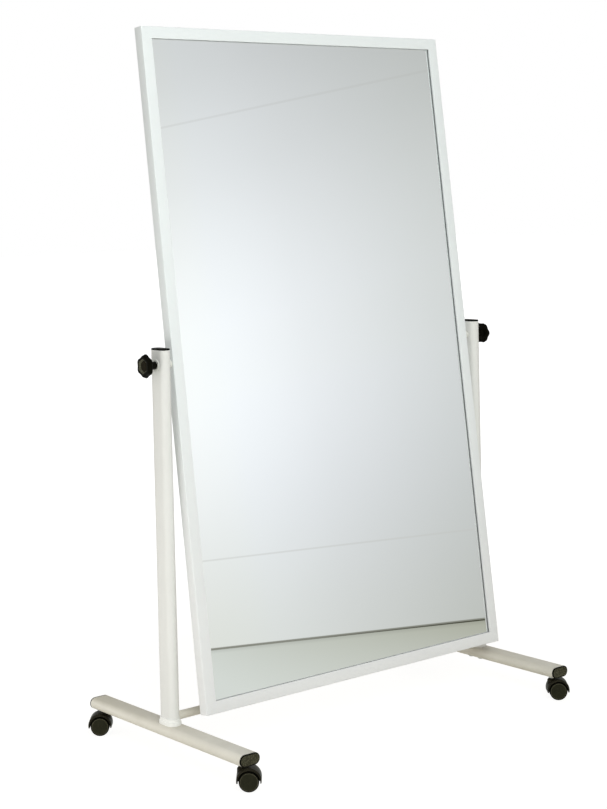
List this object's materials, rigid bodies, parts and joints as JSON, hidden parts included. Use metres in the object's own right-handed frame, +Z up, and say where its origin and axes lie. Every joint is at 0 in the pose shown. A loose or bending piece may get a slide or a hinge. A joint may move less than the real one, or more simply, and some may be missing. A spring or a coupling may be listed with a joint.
{
  "type": "rolling floor mirror",
  "caption": "Framed full-length mirror that turns between two posts on a castered stand, with a lobed clamp knob on each side.",
  "frame": {"origin": "on the floor, midway between the four wheels' outer limits, under the middle of the panel's pivot", "axes": "+X runs across the mirror to the viewer's right, +Y points to the back, away from the viewer, and +Z is up"},
  "size_m": [1.21, 0.6948, 1.8774],
  "materials": {
    "stand_white": "powder coat, satin",
    "feet_white": "powder coat, satin, slightly warmer",
    "collar_white": "moulded, satin",
    "frame_white": "powder coat, satin",
    "black_plastic": "moulded, fine grain",
    "wheel_black": "nylon, satin",
    "zinc_steel": "zinc plated",
    "pale_nylon": "moulded nylon",
    "bare_aluminium": "sawn",
    "mirror_silver": "silvered float glass",
    "back_board": "lacquered hardboard",
    "hidden_board": "raw board"
  },
  "bodies": {
    "stand": {"left_foot": "feet_white", "right_foot": "feet_white", "front_left_foot_plug": "black_plastic", "rear_left_foot_plug": "black_plastic", "front_right_foot_plug": "black_plastic", "rear_right_foot_plug": "black_plastic", "left_post": "stand_white", "right_post": "stand_white", "left_post_cap": "black_plastic", "right_post_cap": "black_plastic", "left_base_collar": "collar_white", "right_base_collar": "collar_white", "base_plugs": "zinc_steel", "foot_bolts": "zinc_steel", "foot_washers": "zinc_steel", "foot_sleeves": "zinc_steel", "crossbar": "feet_white", "crossbar_spigots": "zinc_steel", "spigot_grub_screws": "zinc_steel", "caster_sockets": "black_plastic", "caster_stems": "zinc_steel", "pivot_sleeves": "zinc_steel", "pivot_spacers": "pale_nylon"},
    "mirror_panel": {"top_rail": "frame_white", "bottom_rail": "frame_white", "left_stile": "frame_white", "right_stile": "frame_white", "corner_keys": "bare_aluminium", "mirror_glass": "mirror_silver", "backing_board": "hidden_board", "packing_strips": "hidden_board", "back_panel": "back_board", "back_panel_screws": "zinc_steel", "pivot_blocks": "bare_aluminium", "pivot_block_screws": "zinc_steel"},
    "left_washer": {"left_clamp_washer": "pale_nylon"},
    "left_knob": {"left_knob": "black_plastic", "left_stud": "zinc_steel"},
    "right_washer": {"right_clamp_washer": "pale_nylon"},
    "right_knob": {"right_knob": "black_plastic", "right_stud": "zinc_steel"},
    "front_left_caster": {"front_left_caster_housing": "black_plastic", "front_left_axle": "zinc_steel"},
    "front_left_wheel_1": {"front_left_wheel_1": "wheel_black"},
    "front_left_wheel_2": {"front_left_wheel_2": "wheel_black"},
    "rear_left_caster": {"rear_left_caster_housing": "black_plastic", "rear_left_axle": "zinc_steel"},
    "rear_left_wheel_1": {"rear_left_wheel_1": "wheel_black"},
    "rear_left_wheel_2": {"rear_left_wheel_2": "wheel_black"},
    "front_right_caster": {"front_right_caster_housing": "black_plastic", "front_right_axle": "zinc_steel"},
    "front_right_wheel_1": {"front_right_wheel_1": "wheel_black"},
    "front_right_wheel_2": {"front_right_wheel_2": "wheel_black"},
    "rear_right_caster": {"rear_right_caster_housing": "black_plastic", "rear_right_axle": "zinc_steel"},
    "rear_right_wheel_1": {"rear_right_wheel_1": "wheel_black"},
    "rear_right_wheel_2": {"rear_right_wheel_2": "wheel_black"}
  },
  "joints": [
    {"name": "panel_tilt", "type": "hinge", "parent": "stand", "child": "mirror_panel", "pos_m": [0, 0, 1.01403], "axis": [1, 0, 0], "continuous": true},
    {"name": "left_clamp_travel", "type": "slide", "parent": "mirror_panel", "child": "left_washer", "axis": [-1, 0, 0], "range_m": [0, 0.0031]},
    {"name": "left_knob_turn", "type": "hinge", "parent": "left_washer", "child": "left_knob", "pos_m": [-0.563, 0, 1.01403], "axis": [-1, 0, 0], "range_deg": [0, 720]},
    {"name": "right_clamp_travel", "type": "slide", "parent": "mirror_panel", "child": "right_washer", "axis": [1, 0, 0], "range_m": [0, 0.0031]},
    {"name": "right_knob_turn", "type": "hinge", "parent": "right_washer", "child": "right_knob", "pos_m": [0.563, 0, 1.01403], "axis": [1, 0, 0], "range_deg": [0, 720]},
    {"name": "front_left_swivel", "type": "hinge", "parent": "stand", "child": "front_left_caster", "pos_m": [-0.548, -0.301, 0.059], "axis": [0, 0, 1], "continuous": true},
    {"name": "front_left_wheel_1_roll", "type": "hinge", "parent": "front_left_caster", "child": "front_left_wheel_1", "pos_m": [-0.53595, -0.31075, 0.025], "axis": [0.6293, 0.7771, 0], "continuous": true},
    {"name": "front_left_wheel_2_roll", "type": "hinge", "parent": "front_left_caster", "child": "front_left_wheel_2", "pos_m": [-0.53595, -0.31075, 0.025], "axis": [0.6293, 0.7771, 0], "continuous": true},
    {"name": "rear_left_swivel", "type": "hinge", "parent": "stand", "child": "rear_left_caster", "pos_m": [-0.548, 0.301, 0.059], "axis": [0, 0, 1], "continuous": true},
    {"name": "rear_left_wheel_1_roll", "type": "hinge", "parent": "rear_left_caster", "child": "rear_left_wheel_1", "pos_m": [-0.56005, 0.31075, 0.025], "axis": [-0.6293, -0.7771, 0], "continuous": true},
    {"name": "rear_left_wheel_2_roll", "type": "hinge", "parent": "rear_left_caster", "child": "rear_left_wheel_2", "pos_m": [-0.56005, 0.31075, 0.025], "axis": [-0.6293, -0.7771, 0], "continuous": true},
    {"name": "front_right_swivel", "type": "hinge", "parent": "stand", "child": "front_right_caster", "pos_m": [0.548, -0.301, 0.059], "axis": [0, 0, 1], "continuous": true},
    {"name": "front_right_wheel_1_roll", "type": "hinge", "parent": "front_right_caster", "child": "front_right_wheel_1", "pos_m": [0.56005, -0.31075, 0.025], "axis": [0.6293, 0.7771, 0], "continuous": true},
    {"name": "front_right_wheel_2_roll", "type": "hinge", "parent": "front_right_caster", "child": "front_right_wheel_2", "pos_m": [0.56005, -0.31075, 0.025], "axis": [0.6293, 0.7771, 0], "continuous": true},
    {"name": "rear_right_swivel", "type": "hinge", "parent": "stand", "child": "rear_right_caster", "pos_m": [0.548, 0.301, 0.059], "axis": [0, 0, 1], "continuous": true},
    {"name": "rear_right_wheel_1_roll", "type": "hinge", "parent": "rear_right_caster", "child": "rear_right_wheel_1", "pos_m": [0.53595, 0.31075, 0.025], "axis": [-0.6293, -0.7771, 0], "continuous": true},
    {"name": "rear_right_wheel_2_roll", "type": "hinge", "parent": "rear_right_caster", "child": "rear_right_wheel_2", "pos_m": [0.53595, 0.31075, 0.025], "axis": [-0.6293, -0.7771, 0], "continuous": true}
  ],
  "couplings": [
    {"joint": "left_clamp_travel", "follows": "left_knob_turn", "m_per_rad": 0.00023873},
    {"joint": "right_clamp_travel", "follows": "right_knob_turn", "m_per_rad": 0.00023873}
  ]
}
